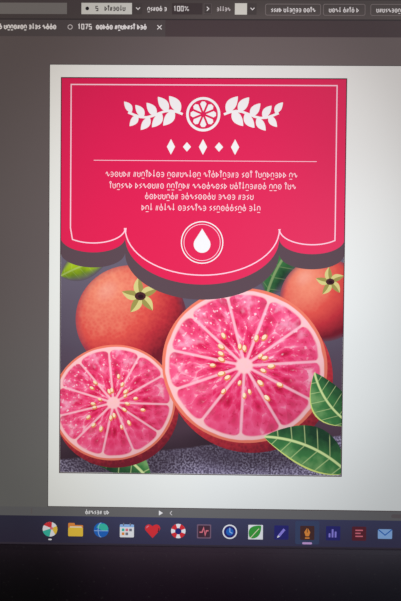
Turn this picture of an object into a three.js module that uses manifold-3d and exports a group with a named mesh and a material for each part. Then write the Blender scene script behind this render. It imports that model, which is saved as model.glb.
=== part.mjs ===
// A 24-inch class desktop computer monitor on a tilting stand, as a three.js scene graph.
// Millimetres, +Z up. The screen faces -Y, so a viewer looks along +Y with +X to the right.
// The origin is on the desk, under the middle of the foot.
import * as THREE from "three";
import { mergeVertices } from "three/addons/utils/BufferGeometryUtils.js";
import Module from "manifold-3d";

const wasm = await Module();
wasm.setup();

// ---------------------------------------------------------------- driving dimensions
const GAP = 0.3; // running and seating clearance between neighbouring pieces

// Display head. Its own frame has x = 0 in the middle, y = 0 at the front face, z = 0 at the bottom edge.
const ACTIVE_W = 527.04; // lit area of a 23.8-inch 16:9 panel
const ACTIVE_H = 296.46;
const SIDE_BEZEL = 13;
const TOP_BEZEL = 13;
const CHIN = 34; // the wide lower bezel
const HEAD_W = ACTIVE_W + 2 * SIDE_BEZEL;
const HEAD_H = ACTIVE_H + TOP_BEZEL + CHIN;
const HEAD_CORNER = 5;
const HEAD_FRONT = -30; // place of the front face in the part's frame
const HEAD_BOTTOM = 78; // height of the bottom edge over the desk
const SCREEN_REVEAL = 0.8; // unlit border left open round the lit area
const LIP = 2; // thickness of the bezel's lip in front of the panel
const BEZEL_DEPTH = 8;
const EDGE_ROUND = 1.6; // rounding of the bezel's outer front edge
const LIP_CHAMFER = 1.4; // slope from the bezel's face down to the panel

const PANEL_BORDER = 3.5; // panel outside its lit area
const PANEL_DEPTH = 9;

const WALL = 2.5;
const SHELL_BACK = 24; // depth of the flat back round the housing
const SHELL_INSET = 30; // how far the curved edge of the back draws in
const HOUSING = { w: 330, bottom: 70, top: 268, back: 48, r: 12, slope: 16, flange: 8 };

const VESA_PITCH = 100;
const VESA_HEIGHT = 190;
const VESA_HOLE_R = 2.2;
const VESA_BOSS_R = 6;
const BOSS_DEPTH = 8;

const VENT = { count: 47, pitch: 6, w: 2.2, h: 20, bottom: 282 };
const LOCK_SLOT = { x: -190, z: 60, w: 7, h: 3 };

// Recesses under the housing, where plugs go in from below.
const BAY = { near: 66, far: 140, roof: 100 };
const SOCKET_DEPTH = 12;
const SOCKET_Y = 37; // middle of the row of sockets, from the front face

// Hinge between head and stand. Its axis runs along X.
const AXIS_BEHIND_HOUSING = 20;
const AXIS_HEIGHT = 112; // above the head's bottom edge
const BARREL_R = 11;
const BARREL_LENGTH = 63.4;
const PIN_R = 4;
const PIN_HEAD_R = 8.5;
const PIN_HEAD = 3;
const EAR = 8;
const YOKE_W = 88;
const YOKE_H = 66;
const YOKE_PLATE = 3;

// Keys under the chin: four menu keys and the power key.
const KEY = { count: 5, pitch: 17, firstX: 158, w: 9, d: 3, y: 5, out: 0.8, in: 2.2 };
const KEY_TRAVEL_ROOM = 0.8;
const LIGHT = { x: 256, z: 10, w: 4, h: 1.4, d: 1.6 };

// Stand.
const BASE = { w: 250, d: 200, r: 26, under: 2.5, thick: 12, round: 5 };
const PAD_R = 9;
const PAD_SEAT = 1; // depth of a pad's pocket in the base
const PAD_PLACES = [
  ["front_left", -98, -76],
  ["front_middle", 0, -82],
  ["front_right", 98, -76],
  ["back_left", -98, 76],
  ["back_middle", 0, 82],
  ["back_right", 98, 76],
];
const NECK = { w: 60, d: 20, footW: 78, footD: 30, r: 8 };
const NECK_TENON = 6; // depth of the neck's foot in the base
const COLLAR = { wide: 9, high: 5 };
const COVER = { w: 40, bottom: 34, top: 158, thick: 2.4, sunk: 1.4 };
const SCREW_R = 13;
const SCREW_HEIGHT = 4;

// ---------------------------------------------------------------- shapes
// A rounded rectangle as points, counterclockwise.
function outline(w, h, r, cx = 0, cy = 0, steps = 6) {
  const points = [];
  const corners = [
    [w / 2 - r, -h / 2 + r, -Math.PI / 2],
    [w / 2 - r, h / 2 - r, 0],
    [-w / 2 + r, h / 2 - r, Math.PI / 2],
    [-w / 2 + r, -h / 2 + r, Math.PI],
  ];
  for (const [x, y, start] of corners)
    for (let i = 0; i <= steps; i++) {
      const a = start + (i / steps) * (Math.PI / 2);
      points.push(new THREE.Vector2(cx + x + r * Math.cos(a), cy + y + r * Math.sin(a)));
    }
  return points;
}

// A closed skin through outlines with equal numbers of points, stacked along +Z.
function loft(sections) {
  const n = sections[0].points.length;
  const positions = [];
  for (const { points, z } of sections) for (const p of points) positions.push(p.x, p.y, z);
  const index = [];
  for (let k = 0; k + 1 < sections.length; k++)
    for (let i = 0; i < n; i++) {
      const a = k * n + i;
      const b = k * n + ((i + 1) % n);
      index.push(a, b, b + n, a, b + n, a + n);
    }
  const last = (sections.length - 1) * n;
  for (const [a, b, c] of THREE.ShapeUtils.triangulateShape(sections[0].points, [])) index.push(a, c, b);
  for (const [a, b, c] of THREE.ShapeUtils.triangulateShape(sections.at(-1).points, []))
    index.push(last + a, last + b, last + c);
  const made = new THREE.BufferGeometry();
  made.setAttribute("position", new THREE.Float32BufferAttribute(positions, 3));
  made.setIndex(index);
  return made;
}

// Turns a shape drawn in X and Y and stacked along Z into one drawn in X and Z.
// Height z there becomes depth y = -z here.
const upright = (geometry) => geometry.rotateX(Math.PI / 2);

// A slab of a rounded rectangle from y0 back to y1, with its middle at (cx, cz).
function slab(w, h, r, y0, y1, cx = 0, cz = 0) {
  const points = outline(w, h, r, cx, cz);
  return upright(loft([{ points, z: -y1 }, { points, z: -y0 }]));
}

function box(x0, x1, y0, y1, z0, z1) {
  const made = new THREE.BoxGeometry(x1 - x0, y1 - y0, z1 - z0);
  return made.translate((x0 + x1) / 2, (y0 + y1) / 2, (z0 + z1) / 2);
}

function cylinderX(r, x0, x1, y, z, sides = 40) {
  const made = new THREE.CylinderGeometry(r, r, x1 - x0, sides).rotateZ(Math.PI / 2);
  return made.translate((x0 + x1) / 2, y, z);
}

function cylinderY(r, y0, y1, x, z, sides = 24) {
  return new THREE.CylinderGeometry(r, r, y1 - y0, sides).translate(x, (y0 + y1) / 2, z);
}

function cylinderZ(r, z0, z1, x, y, sides = 32) {
  const made = new THREE.CylinderGeometry(r, r, z1 - z0, sides).rotateX(Math.PI / 2);
  return made.translate(x, y, (z0 + z1) / 2);
}

// ---------------------------------------------------------------- joins and cuts
function solid(geometry) {
  const bare = geometry.clone();
  bare.deleteAttribute("normal");
  bare.deleteAttribute("uv");
  const merged = mergeVertices(bare, 1e-4);
  return new wasm.Manifold(
    new wasm.Mesh({
      numProp: 3,
      vertProperties: new Float32Array(merged.attributes.position.array),
      triVerts: new Uint32Array(merged.index.array),
    }),
  );
}

const asSolid = (piece) => (piece.isBufferGeometry ? solid(piece) : piece);
const join = (...pieces) => pieces.map(asSolid).reduce((a, b) => a.add(b));
const cut = (from, ...tools) => tools.map(asSolid).reduce((a, b) => a.subtract(b), asSolid(from));

function geometryOf(manifold) {
  const { vertProperties, triVerts } = manifold.getMesh();
  const made = new THREE.BufferGeometry();
  made.setAttribute("position", new THREE.Float32BufferAttribute(vertProperties, 3));
  made.setIndex([...triVerts]);
  return made;
}

// ---------------------------------------------------------------- materials
const finish = (color, roughness, metalness = 0) =>
  new THREE.MeshStandardMaterial({ color, roughness, metalness });
const MATERIALS = {
  bezel: finish(0x1f1b1f, 0.55),
  shell: finish(0x1b1a1c, 0.65),
  panel: finish(0x2b2a2d, 0.4),
  steel: finish(0x8a8c90, 0.35, 1),
  stand: finish(0x1c1b1d, 0.5),
  rubber: finish(0x141414, 0.9),
  key: finish(0x2a282b, 0.5),
  light: finish(0xdfe8ff, 0.3),
  socket: finish(0x101012, 0.6),
};

function piece(parent, name, material, shape) {
  const geometry = shape.isBufferGeometry ? shape : geometryOf(shape);
  const mesh = new THREE.Mesh(geometry, MATERIALS[material]);
  mesh.name = name;
  parent.add(mesh);
  return mesh;
}

// ---------------------------------------------------------------- display head
const WINDOW_W = ACTIVE_W + 2 * SCREEN_REVEAL;
const WINDOW_H = ACTIVE_H + 2 * SCREEN_REVEAL;
const SCREEN_MIDDLE = CHIN + ACTIVE_H / 2;
const PANEL_W = ACTIVE_W + 2 * PANEL_BORDER;
const PANEL_H = ACTIVE_H + 2 * PANEL_BORDER;
const PANEL_FRONT = LIP + GAP;
const SHELL_FRONT = BEZEL_DEPTH + GAP;
const HOUSING_FRONT = SHELL_BACK + GAP;
const AXIS_Y = HOUSING.back + AXIS_BEHIND_HOUSING;

const keyX = (i) => KEY.firstX + i * KEY.pitch;

// The one-piece front frame: rounded outside, sloping down to the panel inside, with a pocket
// behind for the panel.
function frontBezel() {
  const middle = HEAD_H / 2;
  const steps = 4;
  const sections = [];
  for (let i = 0; i <= steps; i++) {
    const a = (i / steps) * (Math.PI / 2);
    const inset = EDGE_ROUND * (1 - Math.cos(a));
    sections.push({
      points: outline(HEAD_W - 2 * inset, HEAD_H - 2 * inset, HEAD_CORNER - inset, 0, middle),
      z: -EDGE_ROUND * (1 - Math.sin(a)),
    });
  }
  sections.unshift({ points: outline(HEAD_W, HEAD_H, HEAD_CORNER, 0, middle), z: -BEZEL_DEPTH });
  const slope = loft([
    { points: outline(WINDOW_W, WINDOW_H, 0.5, 0, SCREEN_MIDDLE), z: -LIP - 0.1 },
    { points: outline(WINDOW_W, WINDOW_H, 0.5, 0, SCREEN_MIDDLE), z: -LIP_CHAMFER },
    {
      points: outline(WINDOW_W + 2 * LIP_CHAMFER, WINDOW_H + 2 * LIP_CHAMFER, 1.2, 0, SCREEN_MIDDLE),
      z: 0.01,
    },
  ]);
  const pocket = slab(
    PANEL_W + 2 * GAP, PANEL_H + 2 * GAP, 1, LIP, BEZEL_DEPTH + 1, 0, SCREEN_MIDDLE,
  );
  const keyPockets = Array.from({ length: KEY.count }, (_, i) =>
    box(
      keyX(i) - KEY.w / 2 - GAP, keyX(i) + KEY.w / 2 + GAP,
      KEY.y - KEY.d / 2 - GAP, KEY.y + KEY.d / 2 + GAP,
      -1, KEY.in + KEY_TRAVEL_ROOM,
    ),
  );
  const lightPocket = box(
    LIGHT.x - LIGHT.w / 2 - 0.1, LIGHT.x + LIGHT.w / 2 + 0.1,
    -1, LIGHT.d + 0.1,
    LIGHT.z - LIGHT.h / 2 - 0.1, LIGHT.z + LIGHT.h / 2 + 0.1,
  );
  return cut(upright(loft(sections)), upright(slope), pocket, ...keyPockets, lightPocket);
}

// The back's curved form, drawn in by a wall thickness and open towards the front where inner is true.
function shellForm(inner) {
  const wall = inner ? WALL : 0;
  const steps = 7;
  const sections = [];
  const depth = SHELL_BACK - SHELL_FRONT - wall;
  for (let i = steps; i >= 0; i--) {
    const a = (i / steps) * (Math.PI / 2);
    const inset = 0.4 + wall + SHELL_INSET * (1 - Math.cos(a));
    sections.push({
      points: outline(HEAD_W - 2 * inset, HEAD_H - 2 * inset, HEAD_CORNER - 0.5, 0, HEAD_H / 2),
      z: -SHELL_FRONT - depth * Math.sin(a),
    });
  }
  if (inner) sections.push({ points: sections.at(-1).points, z: -SHELL_FRONT + 1 });
  return upright(loft(sections));
}

// The raised housing's form, its top and sides curving in towards the back, its underside flat.
function housingForm(inner) {
  const wall = inner ? WALL : 0;
  const { w, bottom, top, back, r, slope } = HOUSING;
  const h = top - bottom;
  const steps = 7;
  const sections = [];
  for (let i = steps; i >= 0; i--) {
    const a = (i / steps) * (Math.PI / 2);
    const inset = wall + slope * (1 - Math.cos(a));
    sections.push({
      points: outline(w - 2 * inset, h - inset - wall, r, 0, (top - inset + bottom + wall) / 2),
      z: -HOUSING_FRONT - (back - HOUSING_FRONT - wall) * Math.sin(a),
    });
  }
  if (inner) sections.push({ points: sections.at(-1).points, z: -HOUSING_FRONT + 1 });
  return upright(loft(sections));
}

// The two recesses under the housing, drawn out by a wall thickness where walled is true.
function bays(walled) {
  const wall = walled ? WALL : 0;
  const front = walled ? HOUSING_FRONT - 2 : HOUSING_FRONT + WALL;
  return [-1, 1].map((side) => {
    const [x0, x1] = [side * BAY.near, side * BAY.far].sort((a, b) => a - b);
    return box(x0 - wall, x1 + wall, front, HOUSING.back + 5, HOUSING.bottom - 5, BAY.roof + wall);
  });
}

const SOCKETS = [
  { name: "audio_jack", x: 79, w: 7, d: 7 },
  { name: "video_socket_wide", x: 103, w: 31, d: 9.6 },
  { name: "video_socket_slim", x: 129, w: 16.4, d: 6.8 },
  { name: "power_jack", x: -103, w: 11, d: 11 },
];

// The thin back, with a window behind which the housing stands, a row of vents and a lock slot.
function backShell() {
  const front = SHELL_BACK - WALL - 2;
  const back = SHELL_BACK + 1;
  const rim = WALL + HOUSING.flange;
  const window = box(
    -HOUSING.w / 2 + rim, HOUSING.w / 2 - rim, front, back, HOUSING.bottom + rim, HOUSING.top - rim,
  );
  const vents = Array.from({ length: VENT.count }, (_, i) => {
    const x = (i - (VENT.count - 1) / 2) * VENT.pitch;
    return box(x - VENT.w / 2, x + VENT.w / 2, front, back, VENT.bottom, VENT.bottom + VENT.h);
  });
  const lock = box(
    LOCK_SLOT.x - LOCK_SLOT.w / 2, LOCK_SLOT.x + LOCK_SLOT.w / 2, front, back,
    LOCK_SLOT.z - LOCK_SLOT.h / 2, LOCK_SLOT.z + LOCK_SLOT.h / 2,
  );
  return cut(shellForm(false), shellForm(true), window, ...vents, lock);
}

// The hollow housing, with bosses for the bracket's screws and holes for the sockets in the
// roofs of its bays.
function rearHousing() {
  const outer = cut(housingForm(false), ...bays(false));
  const vesa = [-1, 1].flatMap((sx) =>
    [-1, 1].map((sz) => [(sx * VESA_PITCH) / 2, VESA_HEIGHT + (sz * VESA_PITCH) / 2]),
  );
  const bosses = vesa.map(([x, z]) =>
    cylinderY(VESA_BOSS_R, HOUSING.back - WALL - BOSS_DEPTH, HOUSING.back, x, z),
  );
  const hollow = cut(housingForm(true), ...bays(true), ...bosses);
  const holes = vesa.map(([x, z]) =>
    cylinderY(VESA_HOLE_R, HOUSING.back - BOSS_DEPTH, HOUSING.back + 1, x, z, 20),
  );
  const sockets = SOCKETS.map(({ x, w, d }) =>
    box(
      x - w / 2 - 0.2, x + w / 2 + 0.2, SOCKET_Y - d / 2 - 0.2, SOCKET_Y + d / 2 + 0.2,
      BAY.roof - 1, BAY.roof + WALL + 1,
    ),
  );
  return cut(cut(outer, hollow), ...holes, ...sockets);
}

// A socket block set in a bay's roof, open downwards. The cavity and what stands in it are given by tools.
function socketBlock({ x, w, d }, ...tools) {
  const block = box(
    x - w / 2, x + w / 2, SOCKET_Y - d / 2, SOCKET_Y + d / 2, BAY.roof, BAY.roof + SOCKET_DEPTH,
  );
  return cut(block, ...tools);
}

function roundSocket(spec, holeR, postR) {
  const hole = cylinderZ(holeR, BAY.roof - 1, BAY.roof + SOCKET_DEPTH - 1.5, spec.x, SOCKET_Y, 28);
  const post = cylinderZ(postR, BAY.roof + 1, BAY.roof + SOCKET_DEPTH, spec.x, SOCKET_Y, 16);
  return socketBlock(spec, postR ? cut(hole, post) : hole);
}

function slotSocket(spec, wall, tongue) {
  const { x, w, d } = spec;
  const hole = box(
    x - w / 2 + wall, x + w / 2 - wall, SOCKET_Y - d / 2 + wall, SOCKET_Y + d / 2 - wall,
    BAY.roof - 1, BAY.roof + SOCKET_DEPTH - 1.5,
  );
  const blade = box(
    x - w / 2 + wall + 1.4, x + w / 2 - wall - 1.4, SOCKET_Y - tongue / 2, SOCKET_Y + tongue / 2,
    BAY.roof + 0.8, BAY.roof + SOCKET_DEPTH,
  );
  return socketBlock(spec, cut(hole, blade));
}

function yoke() {
  const plateFront = HOUSING.back + GAP;
  const plateBack = plateFront + YOKE_PLATE;
  const middle = AXIS_HEIGHT;
  const plate = slab(YOKE_W, YOKE_H, 6, plateFront, plateBack, 0, middle);
  const inside = BARREL_LENGTH / 2 + GAP;
  const ears = [-1, 1].flatMap((side) => {
    const [x0, x1] = [side * inside, side * (inside + EAR)].sort((a, b) => a - b);
    return [
      box(x0, x1, plateBack - 1, AXIS_Y, middle - BARREL_R, middle + BARREL_R),
      cylinderX(BARREL_R, x0, x1, AXIS_Y, middle),
    ];
  });
  const bore = cylinderX(PIN_R + GAP, -YOKE_W, YOKE_W, AXIS_Y, middle);
  return cut(join(plate, ...ears), bore);
}

function hingePin() {
  const reach = BARREL_LENGTH / 2 + 2 * GAP + EAR;
  return join(
    cylinderX(PIN_R, -reach - 0.5, reach + 0.5, AXIS_Y, AXIS_HEIGHT, 32),
    cylinderX(PIN_HEAD_R, reach, reach + PIN_HEAD, AXIS_Y, AXIS_HEIGHT),
    cylinderX(PIN_HEAD_R, -reach - PIN_HEAD, -reach, AXIS_Y, AXIS_HEIGHT),
  );
}

function displayHead() {
  const head = new THREE.Group();
  head.position.set(0, HEAD_FRONT, HEAD_BOTTOM);
  piece(head, "front_bezel", "bezel", frontBezel());
  piece(head, "lcd_panel", "panel",
    slab(PANEL_W, PANEL_H, 1, PANEL_FRONT, PANEL_FRONT + PANEL_DEPTH, 0, SCREEN_MIDDLE));
  piece(head, "back_shell", "shell", backShell());
  piece(head, "rear_housing", "shell", rearHousing());
  piece(head, "hinge_yoke", "steel", yoke());
  piece(head, "hinge_pin", "stand", hingePin());
  const [audio, wide, slim, power] = SOCKETS;
  piece(head, audio.name, "socket", roundSocket(audio, 1.8, 0));
  piece(head, wide.name, "socket", slotSocket(wide, 1.2, 4.2));
  piece(head, slim.name, "socket", slotSocket(slim, 1, 1.4));
  piece(head, power.name, "socket", roundSocket(power, 3.2, 1));
  piece(head, "power_light", "light",
    box(LIGHT.x - LIGHT.w / 2, LIGHT.x + LIGHT.w / 2, 0.05, LIGHT.d,
      LIGHT.z - LIGHT.h / 2, LIGHT.z + LIGHT.h / 2));
  for (let i = 0; i < KEY.count; i++) {
    const name = i + 1 < KEY.count ? `menu_key_${i + 1}` : "power_key";
    piece(head, name, "key",
      box(keyX(i) - KEY.w / 2, keyX(i) + KEY.w / 2, KEY.y - KEY.d / 2, KEY.y + KEY.d / 2,
        -KEY.out, KEY.in));
  }
  return head;
}

// ---------------------------------------------------------------- stand
const BASE_TOP = BASE.under + BASE.thick;
const NECK_Y = HEAD_FRONT + AXIS_Y;
const AXIS_Z = HEAD_BOTTOM + AXIS_HEIGHT;

// The neck's outline at a height: wide and deep at its foot, slimmer towards the hinge.
function neckAt(z, grow = 0) {
  const t = THREE.MathUtils.clamp((z - BASE_TOP) / (AXIS_Z - BARREL_R - BASE_TOP), 0, 1);
  const ease = 1 - (1 - t) * (1 - t);
  const w = THREE.MathUtils.lerp(NECK.footW, NECK.w, ease) + 2 * grow;
  const d = THREE.MathUtils.lerp(NECK.footD, NECK.d, ease) + 2 * grow;
  return { points: outline(w, d, NECK.r + grow, 0, NECK_Y), z, back: NECK_Y + d / 2 };
}

function neck() {
  const steps = 10;
  const sections = [{ ...neckAt(BASE_TOP), z: BASE_TOP - NECK_TENON + GAP }];
  for (let i = 0; i <= steps; i++)
    sections.push(neckAt(BASE_TOP + (i / steps) * (AXIS_Z - BARREL_R / 2 - BASE_TOP)));
  const barrel = cylinderX(BARREL_R, -BARREL_LENGTH / 2, BARREL_LENGTH / 2, NECK_Y, AXIS_Z);
  const bore = cylinderX(PIN_R + GAP, -BARREL_LENGTH, BARREL_LENGTH, NECK_Y, AXIS_Z);
  return cut(join(loft(sections), barrel), bore, coverForm(GAP));
}

// The long cover plate let into the back of the neck, standing a little proud of it.
function coverForm(grow) {
  const steps = 6;
  const front = [];
  for (let i = 0; i <= steps; i++) {
    const z = COVER.bottom + (i / steps) * (COVER.top - COVER.bottom);
    front.push([neckAt(z).back - COVER.sunk - grow, z]);
  }
  front[0][1] -= grow;
  front[steps][1] += grow;
  const deep = COVER.thick + grow;
  const shape = new THREE.Shape([
    ...front.map(([y, z]) => new THREE.Vector2(y, z)),
    ...front.reverse().map(([y, z]) => new THREE.Vector2(y + deep, z)),
  ]);
  const w = COVER.w + 2 * grow;
  const made = new THREE.ExtrudeGeometry(shape, { depth: w, bevelEnabled: false });
  // The shape's X and Y become the part's Y and Z, and its depth runs along X.
  made.applyMatrix4(new THREE.Matrix4().set(0, 0, 1, -w / 2, 1, 0, 0, 0, 0, 1, 0, 0, 0, 0, 0, 1));
  return made;
}

function basePlate() {
  const steps = 5;
  const sections = [
    { points: outline(BASE.w - 2, BASE.d - 2, BASE.r - 1, 0, 0, 10), z: BASE.under },
    { points: outline(BASE.w, BASE.d, BASE.r, 0, 0, 10), z: BASE.under + 1 },
  ];
  for (let i = 0; i <= steps; i++) {
    const a = (i / steps) * (Math.PI / 2);
    const inset = BASE.round * (1 - Math.cos(a));
    sections.push({
      points: outline(BASE.w - 2 * inset, BASE.d - 2 * inset, BASE.r - inset, 0, 0, 10),
      z: BASE_TOP - BASE.round * (1 - Math.sin(a)),
    });
  }
  const pads = PAD_PLACES.map(([, x, y]) =>
    cylinderZ(PAD_R + GAP, BASE.under - 1, BASE.under + PAD_SEAT + GAP, x, y),
  );
  const foot = neckAt(BASE_TOP, GAP).points;
  const socket = loft([
    { points: foot, z: BASE_TOP - NECK_TENON },
    { points: foot, z: BASE_TOP + 1 },
  ]);
  const screw = cylinderZ(SCREW_R + 1, BASE.under - 1, BASE.under + SCREW_HEIGHT, 0, NECK_Y - 1);
  return cut(loft(sections), ...pads, socket, screw);
}

function neckCollar() {
  const ring = (grow, z) => ({ ...neckAt(BASE_TOP, grow), z });
  const low = BASE_TOP + GAP;
  return cut(
    loft([ring(COLLAR.wide, low), ring(COLLAR.wide, low + 1.5), ring(COLLAR.wide - 3, low + COLLAR.high)]),
    loft([ring(GAP, low - 1), ring(GAP, low + COLLAR.high + 1)]),
  );
}

function baseScrew() {
  const low = BASE.under + 0.2;
  const disc = cylinderZ(SCREW_R, low, low + SCREW_HEIGHT - 0.5, 0, NECK_Y - 1);
  const slot = box(-SCREW_R - 1, SCREW_R + 1, NECK_Y - 2.2, NECK_Y + 0.2, low - 1, low + 1.4);
  return cut(disc, slot);
}

function stand() {
  const made = new THREE.Group();
  piece(made, "base_plate", "stand", basePlate());
  piece(made, "base_screw", "steel", baseScrew());
  for (const [where, x, y] of PAD_PLACES)
    piece(made, `foot_pad_${where}`, "rubber", cylinderZ(PAD_R, 0, BASE.under + PAD_SEAT, x, y));
  piece(made, "neck", "stand", neck());
  piece(made, "neck_cover", "shell", coverForm(0));
  piece(made, "neck_collar", "stand", neckCollar());
  return made;
}

const monitor = new THREE.Group();
monitor.name = "computer_monitor";
monitor.add(stand(), displayHead());

export default monitor;
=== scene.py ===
"""How a desktop computer monitor on a tilting stand looks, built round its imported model.

Everything is in metres in the model's own frame: +Z up, the screen faces -Y, +X to the viewer's
right. What the screen shows is drawn in millimetres, right of the screen's middle and above the
lower edge of its lit area, as thin layers that ride on the display.
"""
import random
from dataclasses import dataclass
from functools import cache
from math import cos, hypot, pi, radians, sin, tau

import bmesh
import bpy
from mathutils import Matrix, Vector


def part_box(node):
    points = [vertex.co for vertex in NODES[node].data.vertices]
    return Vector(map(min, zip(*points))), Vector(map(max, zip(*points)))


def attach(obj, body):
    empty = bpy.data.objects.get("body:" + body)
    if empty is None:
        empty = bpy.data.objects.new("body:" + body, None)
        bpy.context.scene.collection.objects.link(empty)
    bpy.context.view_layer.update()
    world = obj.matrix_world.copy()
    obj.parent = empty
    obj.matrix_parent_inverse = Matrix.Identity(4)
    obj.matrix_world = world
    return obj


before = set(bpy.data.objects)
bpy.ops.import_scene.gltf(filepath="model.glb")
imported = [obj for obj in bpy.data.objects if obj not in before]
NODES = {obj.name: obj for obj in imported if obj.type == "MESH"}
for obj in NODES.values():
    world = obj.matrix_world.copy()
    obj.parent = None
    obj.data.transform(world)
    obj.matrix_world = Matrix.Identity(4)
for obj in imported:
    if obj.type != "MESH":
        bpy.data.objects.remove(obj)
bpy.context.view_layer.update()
MM = 0.001

# ---- places, from the frame
PANEL_LOW, PANEL_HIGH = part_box("lcd_panel")
PANEL_BORDER = 3.5  # the panel's unlit border
PANEL_FACE = PANEL_LOW.y
MIDDLE_X = (PANEL_LOW.x + PANEL_HIGH.x) / 2
LIT_BOTTOM = PANEL_LOW.z + PANEL_BORDER * MM
LAYER = 0.03 * MM  # from one drawn layer to the next

# the lit area's right and upper edges, in the screen's own millimetres
EDGE_X = (PANEL_HIGH.x - PANEL_LOW.x) / 2 / MM - PANEL_BORDER
EDGE_Z = (PANEL_HIGH.z - PANEL_LOW.z) / MM - 2 * PANEL_BORDER


def tuned(thing, **settings):
    """Sets a thing's properties and gives it back."""
    for key, value in settings.items():
        setattr(thing, key, value)
    return thing


# ---- colours and material nodes
def linear(level):
    level /= 255
    return level / 12.92 if level <= 0.04045 else ((level + 0.055) / 1.055) ** 2.4


def rgb(*levels):
    """A linear colour from levels of 0 to 255, as it shows on a screen."""
    return (*(linear(level) for level in levels), 1)


def reckon(operation, swapped=False):
    """A method of Value that does one kind of arithmetic."""
    def method(self, *other):
        return calc(operation, *((*other, self) if swapped else (self, *other)))
    return method


class Value:
    """What a node gives, with arithmetic. Tree makes the node, a shader's where its kind doesn't say."""

    stops = ()  # a colour ramp's places and colours

    def __init__(self, kind, inputs, output=0, **settings):
        self.kind = kind if "Node" in kind else "ShaderNode" + kind
        self.inputs = inputs
        self.output = output
        self.settings = settings

    __add__ = __radd__ = reckon("ADD")
    __sub__ = reckon("SUBTRACT")
    __rsub__ = reckon("SUBTRACT", swapped=True)
    __mul__ = __rmul__ = reckon("MULTIPLY")
    __truediv__ = reckon("DIVIDE")
    __pow__ = reckon("POWER")
    __abs__ = reckon("ABSOLUTE")


class Tree:
    """A tree of nodes, which makes the node of each value once."""

    def __init__(self, tree):
        self.tree = tree
        self.made = {}

    def make(self, value):
        if value not in self.made:
            node = self.made[value] = tuned(self.tree.nodes.new(value.kind), **value.settings)
            for key, given in value.inputs.items():
                self.feed(node.inputs[key], given)
            for i, (place, colour) in enumerate(value.stops):
                elements = node.color_ramp.elements
                element = elements[i] if i < len(elements) else elements.new(1)
                tuned(element, position=place, color=rgb(*colour))
        return self.made[value]

    def feed(self, socket, given):
        """Links or sets a socket. Three levels are a colour as it shows on a screen."""
        if isinstance(given, Value):
            self.tree.links.new(self.make(given).outputs[given.output], socket)
        elif given is not None:
            levels = socket.type == "RGBA" and len(given) == 3
            socket.default_value = rgb(*given) if levels else given


def calc(operation, *values):
    return Value("Math", dict(enumerate(values)), operation=operation)


def mix(factor, low, high, how="MIX"):
    return Value("Mix", {0: factor, 6: low, 7: high}, output=2, data_type="RGBA", blend_type=how)


def times(colour, other):
    return mix(1, colour, other, how="MULTIPLY")


def step(value, low, high):
    """0 below low, 1 above high and smooth between."""
    return Value("MapRange", {0: value, 1: low, 2: high}, interpolation_type="SMOOTHSTEP")


def ramp(value, places, colours):
    """A colour between those that stand at some places from 0 to 1."""
    return tuned(Value("ValToRGB", {0: value}), stops=list(zip(places, colours)))


def paint(base, *coats):
    """Lays coats on: each a value, where it is bare and full, the colour and its share."""
    for value, bare, full, colour, share in coats:
        base = mix(step(value, bare, full) * share, base, colour)
    return base


def vector(x, y, z=0):
    return Value("CombineXYZ", {0: x, 1: y, 2: z})


def grey(level):
    return vector(level, level, level)


def noise(size, detail=2, at=None):
    """Soft noise with blotches about size across, in millimetres or in the units of at."""
    scale = 1 / size if at else 1 / (size * MM)
    return Value("TexNoise", {"Vector": at or AT, "Scale": scale, "Detail": detail})


def cells(at, output="Distance"):
    return Value("TexVoronoi", {"Vector": at, "Scale": 1}, output=output)


def bump(height, strength, distance):
    """A surface that height raises by up to distance millimetres."""
    return Value("Bump", {"Height": height, "Strength": strength, "Distance": distance * MM})


AT = Value("TexCoord", {}, "Object")
X = (Value("SeparateXYZ", {0: AT}, "X") - MIDDLE_X) / MM  # right of the screen's middle
Z = (Value("SeparateXYZ", {0: AT}, "Z") - LIT_BOTTOM) / MM  # above the lit area's lower edge


def grouped(name, kind, result, *sockets):
    """A group of nodes with some sockets, each an in_out, a name and a type."""
    group = bpy.data.node_groups.new(name, kind)
    for way, label, form in sockets:
        group.interface.new_socket(label, in_out=way, socket_type="NodeSocket" + form)
    Tree(group).make(Value("NodeGroupOutput", {0: result}))
    return group


def surface(name, **sockets):
    """A material, by its Principled shader's sockets, named with _ for a space."""
    material = bpy.data.materials.new(name)
    material.use_nodes = True
    material.node_tree.nodes.clear()
    shader = Value("BsdfPrincipled", {key.replace("_", " "): value for key, value in sockets.items()})
    Tree(material.node_tree).make(Value("OutputMaterial", {"Surface": shader}))
    return material


# ---- outlines, in millimetres
def put(points, x, z, scale=1, narrow=1, turn=0):
    """Points narrowed, scaled and turned about their origin, then moved."""
    c, s = scale * cos(turn), scale * sin(turn)
    return [(x + u * narrow * c - v * s, z + u * narrow * s + v * c) for u, v in points]


def arc(x, z, rx, rz, start, end, steps=6):
    """Points along an ellipse, between two angles in degrees."""
    angles = [radians(start + (end - start) * i / steps) for i in range(steps + 1)]
    return [(x + rx * cos(a), z + rz * sin(a)) for a in angles]


def circle(x, z, rx, rz=None, turn=0, count=40):
    """Points round a circle or a turned ellipse."""
    return put(arc(0, 0, rx, rx if rz is None else rz, 0, 360, count)[:-1], x, z, turn=turn)


def rounded(x0, z0, x1, z1, r, steps=4):
    """A rectangle's outline, with round corners where r isn't 0."""
    if not r:
        return [(x0, z0), (x1, z0), (x1, z1), (x0, z1)]
    corners = ((x1 - r, z0 + r, -90), (x1 - r, z1 - r, 0), (x0 + r, z1 - r, 90), (x0 + r, z0 + r, 180))
    return [point for x, z, start in corners for point in arc(x, z, r, r, start, start + 90, steps)]


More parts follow.
